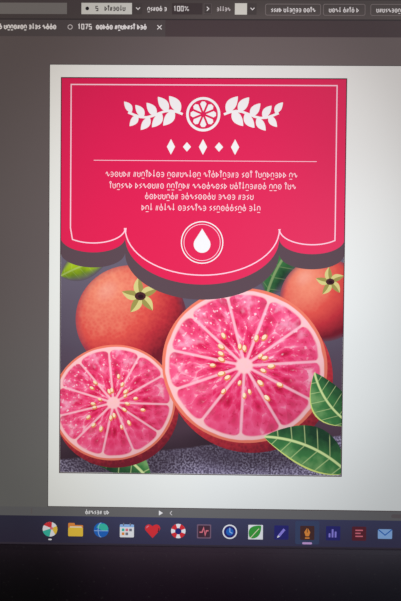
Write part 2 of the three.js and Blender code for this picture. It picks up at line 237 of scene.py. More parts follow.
def inside(points, low, high):
    """What of an outline lies between two corners of a rectangle."""
    for axis, limit, sign in ((0, low[0], 1), (0, high[0], -1), (1, low[1], 1), (1, high[1], -1)):
        kept = []
        for i, end in enumerate(points):
            start = points[i - 1]
            a = sign * (start[axis] - limit)
            b = sign * (end[axis] - limit)
            if a * b < 0:
                t = a / (a - b)
                kept.append(tuple(s + t * (e - s) for s, e in zip(start, end)))
            if b >= 0:
                kept.append(end)
        points = kept
    return points


# ---- pieces
def middle_x(node):
    """A node's middle, in millimetres right of the screen's."""
    low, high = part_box(node)
    return ((low.x + high.x) / 2 - MIDDLE_X) / MM


def placed(name, data):
    """Puts a mesh, lamp or camera in the scene."""
    made = bpy.data.objects.new(name, data)
    bpy.context.scene.collection.objects.link(made)
    return made


def add_piece(name, mesh, materials):
    """Makes a piece that rides on the display."""
    data = bpy.data.meshes.new(name)
    mesh.to_mesh(data)
    mesh.free()
    for material in materials:
        data.materials.append(material)
    piece = placed(name, data)
    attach(piece, "display")


@dataclass
class Sheet:
    """Flat shapes on the screen or another upright face, one piece at its block's end."""

    name: str
    base: int  # the layer that this sheet starts on
    window: tuple = None  # two corners that its shapes are cut to
    face: float = PANEL_FACE
    slot: str = "screen"

    def __enter__(self):
        return tuned(self, mesh=bmesh.new(), materials=[])

    def __exit__(self, *error):
        add_piece(self.name, self.mesh, self.materials)

    def fill(self, points, material, layer=0):
        if self.window:
            points = inside(points, *self.window)
        if len(points) < 3:
            return
        area = sum(a[0] * b[1] - b[0] * a[1] for a, b in zip(points, points[1:] + points[:1]))
        if area < 0:
            points = points[::-1]
        y = self.face - (self.base + layer + 1) * LAYER
        corners = [self.mesh.verts.new((MIDDLE_X + x * MM, y, LIT_BOTTOM + z * MM)) for x, z in points]
        if material not in self.materials:
            self.materials.append(material)
        self.mesh.faces.new(corners).material_index = self.materials.index(material)

    def rect(self, x0, z0, x1, z1, *look, r=0):
        self.fill(rounded(x0, z0, x1, z1, r), *look)

    def line(self, points, width, material, layer=0, closed=False):
        """A line of even width with mitred corners."""
        spans = list(zip(points, points[1:] + points[:1]))
        if not closed:
            spans.pop()
        normals = []
        for (ax, az), (bx, bz) in spans:
            length = hypot(bx - ax, bz - az) or 1
            normals.append(Vector(((az - bz) / length, (bx - ax) / length)))
        sides = []
        for i, (x, z) in enumerate(points):
            before = normals[i - 1] if closed or i else normals[0]
            out = before + (normals[i] if i < len(normals) else before)
            out = out.normalized() if out.length > 0.01 else before
            out = out * (width / 2 / max(out.dot(before), 0.4))
            sides.append(((x + out.x, z + out.y), (x - out.x, z - out.y)))
        for (a, b), (c, d) in list(zip(sides, sides[1:] + sides[:1]))[:len(spans)]:
            self.fill([b, d, c, a], material, layer)

    def frame(self, x0, z0, x1, z1, *look, r=0):
        self.line(rounded(x0, z0, x1, z1, r), *look, closed=True)

    def ring(self, x, z, radius, *look, count=32):
        self.line(circle(x, z, radius, count=count), *look, closed=True)

    def strokes(self, lines, x, z, scale, *look, narrow=1):
        """Lines that are given round an origin of their own."""
        for points in lines:
            self.line(put(points, x, z, scale, narrow), *look)


# ---- materials of the solid parts
SPILL_REACH = 11  # the distance over which the painted spilt light falls to about a third


def painted_screen_light():
    """The bezel's colour with painted light from the screen: darker away from the lit area, painted shade
    at the left and on the chamfer, and cooler at the right.
    """
    above = calc("MAXIMUM", Z - EDGE_Z, 0 - Z)
    away = calc("MAXIMUM", calc("MAXIMUM", abs(X) - EDGE_X, above), 0)
    # painted shade towards the chin's left end, and painted light and shade that turn cooler to the right
    left = step(X, -195, -140)
    right = step(X, -120, -30)
    # painted shade on the chamfer: a fifth less painted light next to the lit area
    past_chamfer = step(away, 2.2, 2.6) * 0.2 + 0.8
    spill = calc("EXPONENT", away / -SPILL_REACH) * (left * 0.66 + 0.34) * past_chamfer
    unlit = mix(left, (0, 0, 0), mix(right, (12, 3, 13), (12, 11, 18)))
    return mix(spill, unlit, mix(right, (53, 42, 52), (51, 48, 56)))


def plastic(name, colour, roughness, grain, relief, dust=0, gloss=0.35):
    """Moulded plastic with an eroded grain, slow changes of tone and dust."""
    slow = noise(38, 3)
    fine = noise(grain)
    base = times(colour, grey(slow * 0.35 + fine * 0.25 + 0.7))
    if dust:
        base = paint(base, (noise(1.1, 1), 0.7, 0.78, (150, 146, 142), dust))
    rough = slow * 0.1 + fine * 0.06 + (roughness - 0.08)
    normal = bump(fine, 0.6, relief)
    return surface(name, Base_Color=base, Roughness=rough, Specular_IOR_Level=gloss, Normal=normal)


def steel(name, colour, roughness):
    """Pressed steel with fine drawing marks along X."""
    marks = noise(1, 3, at=Value("Mapping", {"Vector": AT, "Scale": (40, 900, 1400)}))
    rough = marks * 0.18 + noise(14) * 0.1 + (roughness - 0.12)
    tone = times(colour, grey(1 - marks * 0.28))
    return surface(name, Metallic=1, Base_Color=tone, Roughness=rough, Normal=bump(marks, 0.25, 0.01))


def mottled(name, size, detail, low, high, roughness, spread=0, relief=0, gloss=0.5):
    """Fine blotches between two greys, with a roughness and a relief that follow them."""
    blotch = noise(size, detail)
    return surface(
        name, Base_Color=mix(blotch, low, high), Specular_IOR_Level=gloss,
        Roughness=blotch * spread + roughness if spread else roughness,
        Normal=bump(blotch, 0.6, relief) if relief else None)


def lens(name):
    """The power light's lens, brighter towards its middle."""
    low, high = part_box("power_light")
    near = 1 - abs(X - middle_x("power_light")) / ((high.x - low.x) / MM)
    glow = mix(near, (120, 150, 215), (225, 236, 255))
    tone = (220, 226, 235)
    return surface(name, Base_Color=tone, Roughness=0.25, Emission_Color=glow, Emission_Strength=1.2)


# the bezel's colour is painted light from the screen and painted shade over dark plastic
BEZEL = plastic("bezel_plastic", painted_screen_light(), 0.5, 0.3, 0.012, dust=0.03, gloss=0.025)
SHELL = plastic("shell_plastic", (40, 39, 42), 0.62, 0.8, 0.06, dust=0.04)
STAND = plastic("stand_plastic", (38, 37, 40), 0.44, 0.35, 0.015, dust=0.06)
KEY = plastic("key_plastic", (52, 50, 54), 0.42, 0.3, 0.01)
SOCKET = plastic("socket_plastic", (24, 24, 26), 0.55, 0.4, 0.01)
STEEL = steel("hinge_steel", (196, 197, 202), 0.38)
RUBBER = mottled("foot_rubber", 0.6, 4, (18, 18, 19), (38, 37, 38), 0.78, 0.15, relief=0.05)
GLASS = mottled("panel_glass", 0.25, 1, (44, 37, 46), (54, 46, 56), 0.38, 0.1, gloss=0.3)
PRINT = mottled("mark_print", 0.5, 3, (112, 108, 112), (142, 138, 142), 0.6, gloss=0.2)
FLOOR = mottled("floor_paint", 220, 3, (206, 205, 203), (214, 213, 211), 0.85)
LENS = lens("power_lens")

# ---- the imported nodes
SHARP = radians(34)  # a corner that is sharper than this is an edge

# faces are shaded smooth, and edges stay sharp
ANGLE = Value("GeometryNodeInputMeshEdgeAngle", {})
FLAT = Value("FunctionNodeCompare", {0: ANGLE, 1: SHARP}, operation="LESS_THAN")
FACES = Value("GeometryNodeSetShadeSmooth", {"Geometry": Value("NodeGroupInput", {})}, domain="FACE")
EDGES = Value("GeometryNodeSetShadeSmooth", {"Geometry": FACES, "Shade Smooth": FLAT}, domain="EDGE")
SMOOTH = grouped(
    "shade_by_angle", "GeometryNodeTree", EDGES,
    ("INPUT", "Geometry", "Geometry"), ("OUTPUT", "Geometry", "Geometry"))
SKINS = (  # a material, how wide edges are softened, and the nodes, or how their names start
    (GLASS, 0, "lcd_panel"), (BEZEL, 0.2, "front_bezel"), (LENS, 0.2, "power_light"),
    (SHELL, 0.2, "back_shell"), (SHELL, 0.3, "rear_housing", "neck_cover"), (STAND, 0.4, "neck_collar"),
    (STAND, 0.3, "neck", "base_plate"), (STEEL, 0.3, "base_screw"), (STEEL, 0.35, "hinge_yoke"),
    (STEEL, 0.4, "hinge_pin"), (SOCKET, 0.15, "audio_jack", "video_socket", "power_jack"),
    (KEY, 0.35, "menu_key", "power_key"), (RUBBER, 0.3, "foot_pad"),
)


def dress(piece, material, bevel):
    """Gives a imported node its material, joined faces and softened edges."""
    for place in piece.material_slots:
        place.material = material
    modify = piece.modifiers.new
    tuned(modify("weld", "WELD"), merge_threshold=0.002 * MM)
    tuned(modify("flat_faces", "DECIMATE"), decimate_type="DISSOLVE", angle_limit=radians(0.3))
    if bevel:
        corners = {"limit_method": "ANGLE", "angle_limit": SHARP}
        tuned(modify("soft_edges", "BEVEL"), width=bevel * MM, segments=2, **corners)
    tuned(modify("shading", "NODES"), node_group=SMOOTH)
    tuned(modify("normals", "WEIGHTED_NORMAL"), keep_sharp=True)


for name, piece in NODES.items():
    dress(piece, *next(skin[:2] for skin in SKINS if name.startswith(skin[2:])))

# ---- screws of the hinge plate
SCREW_R, SCREW_H = 3.4, 1.5
ARM, ARM_HALF = 0.58 * SCREW_R, 0.14 * SCREW_R  # of the cross recess
RIM_STEPS = 8  # of a quarter of the rim
PLATE = 3  # the hinge plate's thickness, and the gap in front of it
PLATE_GAP = 0.3
PLATE_SCREWS = [(x, z) for x in (-35, 35) for z in (-25, 25)]  # from the hinge's axis


def screw_head(name, x, y, z):
    """A pan head with a cross recess, seen from behind, with its underside at y."""
    mesh = bmesh.new()

    def ring(points, height, scale=1):
        points = put(points, 0, 0, scale)
        return [mesh.verts.new((x + u * MM, y + height * SCREW_H * MM, z + v * MM)) for u, v in points]

    def wall(low, high):
        for i, vert in enumerate(low):
            mesh.faces.new((low[i - 1], vert, high[i], high[i - 1]))

    rim = circle(0, 0, SCREW_R, count=4 * RIM_STEPS)
    corner = [(ARM, 0), (ARM, ARM_HALF), (ARM_HALF, ARM_HALF), (ARM_HALF, ARM)]
    cross = [point for quarter in range(4) for point in put(corner, 0, 0, turn=quarter * tau / 4)]
    edge, top, mouth, floor = ring(rim, 0.55), ring(rim, 1, 0.78), ring(cross, 1), ring(cross, 0.3, 0.8)
    wall(ring(rim, 0), edge)
    wall(edge, top)
    wall(mouth, floor)
    mesh.faces.new(floor)
    for quarter in range(4):
        outer = [top[(quarter * RIM_STEPS + i) % len(top)] for i in range(RIM_STEPS + 1)]
        inner = [mouth[(quarter * 4 + i) % len(mouth)] for i in range(5)]
        mesh.faces.new(outer + inner[::-1])
    bmesh.ops.recalc_face_normals(mesh, faces=mesh.faces)
    add_piece(name, mesh, [STEEL])


low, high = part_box("hinge_pin")
axis = (low.z + high.z) / 2
plate_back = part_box("rear_housing")[1].y + (PLATE_GAP + PLATE) * MM
for i, (x, z) in enumerate(PLATE_SCREWS):
    screw_head(f"plate_screw_{i + 1}", x * MM, plate_back, axis + z * MM)

# ---- inside the video sockets
SOCKETS = (  # name, contacts on each face of its tongue, the tongue's thickness and the block's wall
    ("video_socket_wide", 12, 4.2, 1.2),
    ("video_socket_slim", 10, 1.4, 1),
)
CONTACT_X, CONTACT_Y, CONTACT_Z = 0.6, 0.12, 7
CONTACT_FOOT = 1.6
ROW_INSET = 2.6  # of the contacts, from the block's inner wall
LINER, LINER_TALL = 0.2, 9


def socket_metal(name, contacts, tongue, wall):
    """The socket's steel liner and the contact strips on both faces of its tongue."""
    low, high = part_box(name)
    middle = (low + high) / 2
    mesh = bmesh.new()

    def bar(x, y, z, *size):
        place = Matrix.Translation((middle.x + x * MM, middle.y + y * MM, low.z + z * MM))
        bmesh.ops.create_cube(mesh, size=MM, matrix=place @ Matrix.Diagonal((*size, 1)))

    half_x = (high.x - low.x) / 2 / MM - wall
    half_y = (high.y - low.y) / 2 / MM - wall
    row = 2 * (half_x - ROW_INSET)
    up = CONTACT_FOOT + CONTACT_Z / 2
    for side in (1, -1):
        bar(side * (half_x - LINER), 0, 5, LINER, 2 * half_y - 2 * LINER, LINER_TALL)
        bar(0, side * (half_y - LINER), 5, 2 * half_x - LINER, LINER, LINER_TALL)
        for i in range(contacts):
            x = row * (i / (contacts - 1) - 0.5)
            bar(x, side * (tongue + CONTACT_Y) / 2, up, CONTACT_X, CONTACT_Y, CONTACT_Z)
    add_piece(name + "_metal", mesh, [STEEL])


for socket in SOCKETS:
    socket_metal(*socket)

# ---- marks of the keys, on the chin
KEY_MARKS = {  # a menu, down, up, a chosen box and the standby sign, in millimetres from their middles
    "menu_key_1": ([(-0.9, 0.8), (0.9, 0.8)], [(-0.9, 0), (0.9, 0)], [(-0.9, -0.8), (0.9, -0.8)]),
    "menu_key_2": ([(-1, 0.6), (1, 0.6), (0, -0.8), (-1, 0.6)],),
    "menu_key_3": ([(-1, -0.6), (1, -0.6), (0, 0.8), (-1, -0.6)],),
    "menu_key_4": (rounded(-0.9, -0.9, 0.9, 0.9, 0) + [(-0.9, -0.9)], [(-0.35, 0), (0.35, 0)]),
    "power_key": (arc(0, 0, 0.95, 0.95, 130, 410, 14), [(0, 0.2), (0, 1.2)]),
}
MARK_LINE = 0.24
MARKS_ABOVE_EDGE = 5.5
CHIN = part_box("front_bezel")[0]

with Sheet("key_marks", 0, face=CHIN.y, slot="key_plastic") as sheet:
    for key, lines in KEY_MARKS.items():
        z = (CHIN.z - LIT_BOTTOM) / MM + MARKS_ABOVE_EDGE
        sheet.strokes(lines, middle_x(key), z, 1, MARK_LINE, PRINT)

# ---- drawing on the screen
BRIGHT_X, BRIGHT_Z = -120, 126  # the brightest place of the backlight


def backlight():
    """The backlight, fixed to the panel: uneven, coolest at the right and warmer at the top."""
    cloud = noise(95, 1) - 0.5
    u, v = (X - BRIGHT_X) / 106, (Z - BRIGHT_Z) / 128
    level = 1.08 - step(u * u + v * v + cloud * 0.5, 0, 1.45) * 0.48
    level = level - step(X - Z * 0.7, -90, -30) * 0.07
    left = 1 - step(X + cloud * 160, -215, -90)
    high = step(Z + X * 0.25, 70, 240)
    tint = times(
        mix(left, (0.985, 1.015, 1.03, 1), (1, 0.99, 0.93, 1)),
        mix(high, (0.975, 0.975, 1.02, 1), (1, 0.91, 0.91, 1)),
    )
    light = times(tint, grey(level))
    group = grouped("backlight", "ShaderNodeTree", light, ("OUTPUT", "Color", "Color"))
    return Value("Group", {}, node_tree=group)


BACKLIGHT = backlight()


def picture(name, colour):
    """A material of the picture on the lit screen, lit from behind."""
    return surface(
        name, Base_Color=(0.004, 0.004, 0.005, 1), Roughness=0.45, Specular_IOR_Level=0.05,
        Emission_Color=times(colour, BACKLIGHT), Emission_Strength=1)


@cache
def ink(name, *colour):
    """A plain colour of the picture on the screen, made once."""
    return picture("ink_" + name, colour)


SIGNS = (  # of a made-up script: a width, then strokes, in units of a small sign's height
    (0.8, (arc(0.4, 0.5, 0.4, 0.5, 0, 360, 10), [(0.4, 0.4), (0.4, 0.6)])),
    (0.76, (arc(0.38, 0.45, 0.38, 0.45, 125, 415, 9), [(0.38, 0.45), (0.38, 1.4)])),
    (0.7, ([(0, 0.15)] + arc(0.35, 0.65, 0.35, 0.35, 180, 0) + [(0.7, 0.15)], [(0, -0.3), (0.7, -0.3)])),
    (0.7, ([(0, 1)] + arc(0.35, 0.38, 0.35, 0.38, 180, 360) + [(0.7, 1)], [(0.35, 0.6), (0.35, 0.8)])),
    (0.6, ([(0, 0), (0.6, 0.5), (0, 1), (0, 0)],)),
    (0.4, ([(0.2, 0), (0.2, 0.95)], arc(0.2, 1.18, 0.2, 0.22, 0, 360, 8))),
    (0.55, ([(0.55, 1), (0.05, 0.7), (0.55, 0.35), (0.05, 0)],)),
    (0.55, ([(0.25, 1.45), (0.25, 0)], [(0, 0.25), (0.55, 0.25)])),
    (0.7, (arc(0.28, 0.5, 0.4, 0.5, -130, 130, 8), [(0, 0.5), (0.5, 0.5)])),
    (0.8, (arc(0.2, 0.55, 0.2, 0.4, 180, 0) + arc(0.6, 0.55, 0.2, 0.4, 180, 360)[1:],)),
    (0.6, ([(0, 0), (0.2, 1)], [(0.35, 0), (0.55, 1)])),
)
NARROW = 0.82  # a written sign's width, as a share of what SIGNS says


def scrawl(sheet, seed, x, z, width, height, *look):
    """Made-up writing, whose signs belong to no alphabet and spell nothing."""
    dice = random.Random(seed)
    end = x + width
    while x < end - height:
        for i in range(dice.randint(3, 9)):
            size, lines = dice.choice(SIGNS)
            size *= NARROW
            if x + size * height > end:
                break
            sheet.strokes(lines, x, z, height, *look, narrow=NARROW)
            x += (size + 0.32) * height
        x += 0.45 * height


FIGURES = {  # one wide and two tall
    "0": ([(0, 0), (1, 0), (1, 2), (0, 2), (0, 0)],),
    "1": ([(0.2, 1.6), (0.6, 2), (0.6, 0)],),
    "2": ([(0, 2), (1, 2), (1, 1), (0, 1), (0, 0), (1, 0)],),
    "3": ([(0, 2), (1, 2), (1, 0), (0, 0)], [(0.2, 1), (1, 1)]),
    "4": ([(0, 2), (0, 1), (1, 1)], [(1, 2), (1, 0)]),
    "5": ([(1, 2), (0, 2), (0, 1), (1, 1), (1, 0), (0, 0)],),
    "7": ([(0, 2), (1, 2), (0.4, 0)],),
    ":": ([(0.5, 0.4), (0.5, 0.65)], [(0.5, 1.35), (0.5, 1.6)]),
}


def number(sheet, text, x, z, height, *look):
    """Plain figures from their left end. Gives where the next would start."""
    for sign in text:
        sheet.strokes(FIGURES[sign], x, z, height / 2, *look, narrow=0.95)
        x += height * 0.81
    return x


# ---- the drawing program
BLEED = 0.8  # how far the backlight glows past the lit area
TASKBAR_TOP = 12.7
STATUS_TOP = 16.9
TABS_BOTTOM = 236.45
TABS_TOP = 244.3
OPTIONS_TOP = 253.6
RIBBON_TOP = 279.5
MENU_TOP = 287.6
TOOLS_RIGHT = -241
DOCK_LEFT = 171
SEAM = 0.3  # half the line between two bars
ARTBOARD = (-190.9, 17.2, 133, 223.5)

WHITE = ink("white", 246, 244, 243)
PALE = ink("pale", 218, 212, 212)
DIM = ink("dim", 158, 148, 149)
PANEL_INK = ink("panel", 78, 70, 70)
PANEL_DARK = ink("panel_dark", 74, 58, 61)
PANEL_EDGE = ink("panel_edge", 56, 49, 51)
PANEL_LIT = ink("panel_lit", 104, 95, 96)
FIGURE_DARK = ink("figure_dark", 74, 68, 68)


def graded(name, left, right, bottom, top, *corners):
    """A tone that changes between its lower left, lower right, upper left and upper right."""
    across = step(X, left, right)
    low, high = mix(across, *corners[:2]), mix(across, *corners[2:])
    return picture(name, paint(low, (Z, bottom, top, high, 1)))


STATUS_TONES = (103, 102, 103), (110, 108, 108)
CANVAS, OPTIONS, DESKTOP_BAR, STATUS = (graded(*look) for look in (
    ("canvas", -194, -80, 15, 140, (110, 109, 106), (110, 98, 97), (101, 91, 90), (114, 103, 102)),
    ("options", -190, -100, 244, 252, (77, 69, 68), (94, 86, 84), (77, 68, 69), (84, 77, 75)),
    ("desktop_bar_tone", -205, -150, 0, 13, (43, 37, 57), (58, 55, 84), (46, 43, 64), (63, 64, 96)),
    ("status", -195, -155, 13, 17, *STATUS_TONES, *STATUS_TONES),
))

# the window's bars, the drawing's page, and the glow round the lit area
with Sheet("program_frame", 0) as sheet:
    bars = (
        (0, DESKTOP_BAR), (TASKBAR_TOP, STATUS), (STATUS_TOP, CANVAS),
        (TABS_BOTTOM, ink("tabs", 78, 65, 67)), (TABS_TOP, OPTIONS), (OPTIONS_TOP, PANEL_INK),
        (RIBBON_TOP, PANEL_DARK), (MENU_TOP, ink("title_bar", 62, 54, 56)), (EDGE_Z, None),
    )
    for (low, material), (high, _) in zip(bars, bars[1:]):
        sheet.rect(-EDGE_X, low, EDGE_X, high, material)
    side, top = EDGE_X + BLEED / 2, EDGE_Z + BLEED / 2
    sheet.frame(-side, -BLEED / 2, side, top, BLEED, ink("bleed", 58, 50, 62))
    for z in (OPTIONS_TOP, RIBBON_TOP, TABS_TOP):
        sheet.rect(-EDGE_X, z - SEAM, EDGE_X, z + SEAM, PANEL_EDGE, 1)
    for x0, x1, material in (
        (-EDGE_X, TOOLS_RIGHT, PANEL_INK), (TOOLS_RIGHT, TOOLS_RIGHT + 0.5, PANEL_EDGE),
        (DOCK_LEFT, EDGE_X, PANEL_INK), (DOCK_LEFT - 0.5, DOCK_LEFT, PANEL_EDGE),
    ):
        sheet.rect(x0, STATUS_TOP, x1, TABS_BOTTOM, material, 1)
    sheet.rect(-228, TABS_BOTTOM, -137.4, TABS_TOP - SEAM, ink("tab", 84, 76, 76), 1)
    sheet.rect(*ARTBOARD, ink("artboard", 238, 239, 234), 1)
    sheet.frame(*ARTBOARD, 0.3, ink("artboard_edge", 70, 62, 63), 2)

# fields and buttons above the drawing
with Sheet("options_bar", 2) as sheet:
    low, high, text = 246.6, 251.8, 248.2
    arrow_box = ink("arrow_box", 76, 69, 68)
    for x0, x1, material in (
        (-222, -183, ink("field_dim", 125, 122, 120)), (-176.3, -152.9, ink("field_pale", 223, 225, 218)),
        (-134.4, -120.4, ink("field_dark", 69, 59, 60)), (-105.4, -99.8, ink("sample_pale", 231, 231, 221)),
        (-152.9, -148.2, arrow_box), (-119.6, -116.2, arrow_box), (-99.8, -95.4, arrow_box),
    ):
        sheet.rect(x0, low, x1, high, material)
    sheet.fill(circle(-173.6, 249.2, 0.85, count=16), ink("near_black", 28, 22, 26), 1)
    number(sheet, "5", -169.6, text, 2, 0.42, FIGURE_DARK, 1)
    for seed, x, *look in (
        (5, -165.4, 9.8, 1.7, 0.4, FIGURE_DARK), (7, -145.6, 9.8, 1.6, 0.36, WHITE),
        (11, -113.6, 6.8, 1.5, 0.34, PALE),
    ):
        scrawl(sheet, seed, x, text, *look, 1)
    for x in (-150.1, -97.3):
        sheet.line([(x - 0.9, 249.7), (x, 248.8), (x + 0.9, 249.7)], 0.4, WHITE, 1)
    end = number(sheet, "100", -133.6, text, 2.1, 0.35, WHITE, 1)
    for x, z in ((end + 0.3, 249.9), (end + 1.5, 248.6)):
        sheet.ring(x, z, 0.35, 0.22, WHITE, 1, count=8)
    sheet.line([(end + 0.2, 248.3), (end + 1.5, 250.2)], 0.28, WHITE, 1)
    sheet.frame(-119.6, low + 0.3, -116.2, high - 0.3, 0.22, PANEL_LIT, 1)
    sheet.line([(-118.3, 250.1), (-117.4, 249.2), (-118.3, 248.3)], 0.42, WHITE, 2)
    for x0, x1, seed in ((-91.3, -66, 21), (-64.7, -45.6, 22), (-43, -24, 26)):
        sheet.frame(x0, low - 0.2, x1, high - 0.35, 0.32, ink("button_edge", 132, 123, 122), r=0.8)
        scrawl(sheet, seed, x0 + 2.7, text - 0.35, x1 - x0 - 4.8, 1.6, 0.36, WHITE)
    for i in range(7):
        x = -18 + 13 * i
        sheet.frame(x, 247, x + 4.6, 251.6, 0.4, DIM, r=0.5)
        sheet.line([(x + 1, 248 + i % 3), (x + 3.6, 250.6 - i % 2)], 0.45, PALE, 1)
    for i in range(3):
        sheet.rect(250, 248 + 1.2 * i, 256, 248.5 + 1.2 * i, PALE)

with Sheet("tab_row", 2) as sheet:
    low, middle = 239.8, 240.7
    sheet.ring(-181.5, middle, 1, 0.32, PALE)
    end = number(sheet, "1075", -177.9, low, 2.15, 0.44, WHITE) + 1.6
    for seed, x, width in ((31, -224, 37), (36, end, -146.2 - end)):
        scrawl(sheet, seed, x, low, width, 1.7, 0.5, WHITE)
    for turn in (0.95, -0.95):
        sheet.line([(-141.1, middle - turn), (-139.1, middle + turn)], 0.38, WHITE)

# ---- the plant label being drawn
LABEL_W, LABEL_H = 131.4, 183.5
SEGMENTS = 11  # of a cut citrus fruit; odd, so that the pattern's seam falls on a membrane
PIPS = 22
HEADER_LOW = 110  # the header's lower edge, above the label's
BADGE = 108
WALL = (92, 80, 96)  # the dark wall behind the fruit, at mid height
LEAF_TONES = ((26, 60, 38), (62, 124, 66), (150, 190, 120))
LIME_TONES = ((104, 132, 20), (176, 206, 30), (226, 238, 110))
LABELS = (  # name, place, seed, and tones, mostly from dark to pale
    ("label_pink", -185.2, 33.55, 3, {
        "header": ((92, 72, 80), (229, 31, 82), (231, 58, 100), (224, 27, 84), (226, 40, 91)),
        "juice": ((186, 16, 58), (230, 38, 96), (246, 96, 142), (255, 196, 208)),
        "pith, rind and gleam": ((252, 196, 186), (236, 122, 98), (250, 190, 214)),
        "skin": ((112, 22, 38), (190, 46, 56), (224, 82, 72), (246, 146, 116), (255, 216, 192)),
    }),
    ("label_green", -11, 33.5, 9, {
        "header": ((64, 78, 64), (84, 150, 66), (88, 152, 74), (62, 128, 58), (66, 130, 64)),
        "juice": ((120, 158, 24), (166, 198, 52), (200, 224, 104), (238, 247, 196)),
        "pith, rind and gleam": ((250, 250, 226), (122, 172, 52), (236, 246, 200)),
        "skin": ((34, 74, 28), (70, 124, 40), (112, 166, 54), (170, 208, 96), (228, 242, 184)),
    }),
)


def local(x, z, turn, rx, rz):
    """A place on a turned ellipse, where its rim is at distance 1."""
    c, s = cos(turn), sin(turn)
    dx, dz = X - x, Z - z
    return (dx * c + dz * s) / rx, (dz * c - dx * s) / rz


def cut_fruit(name, x, z, rx, rz, turn, tones):
    """The face of a cut citrus fruit: rind, pith, membranes and drop-shaped pulp."""
    deep, _, light, pale = tones["juice"]
    pith, rind, gleam = tones["pith, rind and gleam"]
    u, v = local(x, z, turn, rx, rz)
    distance = (u * u + v * v) ** 0.5 + (noise(9, 1) - 0.5) * 0.03
    around = calc("ARCTAN2", v, u) / tau * SEGMENTS
    off_middle = abs(calc("FRACT", around + 0.5) - 0.5)
    from_membrane = (0.5 - off_middle) * distance * (tau / SEGMENTS)
    lit_side = step(v - u * 0.6, -0.9, 0.9)

    drops = vector(distance * 6, around * 3.6)
    chance = Value("SeparateColor", {0: cells(drops, output="Color")})
    tone = cells(drops) * 0.75 + chance * 0.3 + (noise(3.2, 3) - 0.5) * 0.5
    glints = noise(1, at=vector(distance * 15, around * 7))
    sheen = noise(4, 3, at=vector(distance * 18, around * 10))
    pith = mix(noise(2.2), pith, pale)
    face = paint(
        ramp(tone, (0.08, 0.4, 0.78, 1), tones["juice"]),
        (distance, 0.5, 0.95, light, 0.45),
        (glints, 0.6, 0.72, (255, 236, 240), lit_side * 0.85),
        (glints, 0.42, 0.3, deep, 0.5),
        (from_membrane, 0.026, 0.006, pale, 0.8),
        (sheen, 0.5, 0.72, gleam, lit_side * step(distance, 0.35, 0.8) * 0.7),
        (distance + (off_middle * 2) ** 7 * 0.07, 0.9, 0.93, pith, 1),
        (distance, 0.12, 0.085, pith, 1),
        (distance, 0.955, 0.97, rind, 1),
    )
    shade = step(u * 0.8 - v, -0.6, 1.5) * -0.28 + 1.06
    return picture(name, times(face, grey(shade)))


def skin(name, x, z, r, tones, pores=1.5, soft=0):
    """The skin of a round fruit, lit from the upper left, with pores and a blush."""
    u, v = local(x, z, 0, r, r)
    out = calc("SQRT", calc("MAXIMUM", 1 - u * u - v * v, 0))
    light = v * 0.46 - u * 0.4 + out * 0.66
    blush = noise(r * 0.8, 3) - 0.5
    dimples = cells(vector(u * (r / pores), v * (r / pores)))
    tone = light * 0.8 + 0.06 + blush * 0.26 + (dimples - 0.4) * (0.16 * (1 - soft))
    base = ramp(tone, (0, 0.3, 0.55, 0.8, 0.98), tones["skin"])
    shine = (light, 0.86, 0.985, (255, 238, 228), 0.55)
    return picture(name, paint(base, shine, (u * u + v * v, 0.72, 1.02, WALL, soft)))


LEAF_POWER = 0.85


def leaf_points(x, z, length, width, turn, bend, low=0):
    """A leaf's outline from its stalk, or of what lies above a share of its width."""
    points = []
    count = 14
    for share, order in ((low, range(count + 1)), (1, range(count, -1, -1))):
        for i in order:
            a = i / count
            reach = sin(pi * a ** LEAF_POWER) ** LEAF_POWER * width / 2
            points.append((a * length, bend * 4 * a * (1 - a) + (share * 2 - 1) * reach))
    return put(points, x, z, turn=turn)


def leaf_ink(name, x, z, length, width, turn, bend, tones, soft):
    """A glossy leaf with pale veins, whose rim may fade out of focus."""
    a, b = local(x, z, turn, length, 1)
    b = (b - a * (1 - a) * (4 * bend)) / (width / 2)
    off = abs(b)
    gloss = step(b, -0.9, 1) * 0.6 + (noise(8, 3) - 0.5) * 0.9 + a * 0.2
    vein = abs(calc("FRACT", a * 6.5 - off * 0.75) - 0.5)
    lines = step(vein, 0.06, 0.015) * step(off, 1, 0.75)
    ribs = calc("MAXIMUM", lines * 0.55, step(off, 0.085, 0.03))
    face = mix(ribs * (1 - soft), ramp(gloss, (0.05, 0.55, 1), tones), (205, 222, 150))
    if soft:
        reach = calc("SINE", pi * a ** LEAF_POWER) ** LEAF_POWER
        face = paint(face, (off / reach, 0.35, 1.05, WALL, 1))
    return picture(name, face)


def backdrop_ink(name, x0, z0):
    """Behind the fruit: a soft dark wall, and a gritty slate in the fruit's shade."""
    u, v = X - x0, Z - z0
    soft = noise(30) - 0.5
    wall_tones = (58, 40, 50), (84, 62, 76), (88, 76, 92), (112, 105, 122)
    wall = ramp(v / 120 + soft * 0.25, (0.02, 0.3, 0.5, 0.95), wall_tones)
    grit = (noise(0.9, 3), 0.42, 0.62, (176, 166, 192), 1)
    stone = paint((76, 66, 88), grit, (noise(6), 0.35, 0.7, (120, 108, 136), 0.5))
    back = paint(wall, (v + (u - 66) * -0.1 + soft * 3, 13.2, 12, stone, 1))
    for shade_u, shade_v, rx, rz in ((90, 12, 44, 12), (30, 6, 34, 12)):
        a, b = (u - shade_u) / rx, (v - shade_v) / rz
        back = paint(back, (a * a + b * b, 1.2, 0.2, (44, 28, 38), 0.75))
    return picture(name, back)


def header_edge(drop):
    """The header's scalloped lower edge, in the label's own millimetres."""
    points = []
    for start, end, depth in ((0, 30, 7), (30, LABEL_W - 30, 21.5), (LABEL_W - 30, LABEL_W, 7)):
        points += arc((start + end) / 2, HEADER_LOW - drop, (end - start) / 2, depth, 180, 360, 32)
    return points


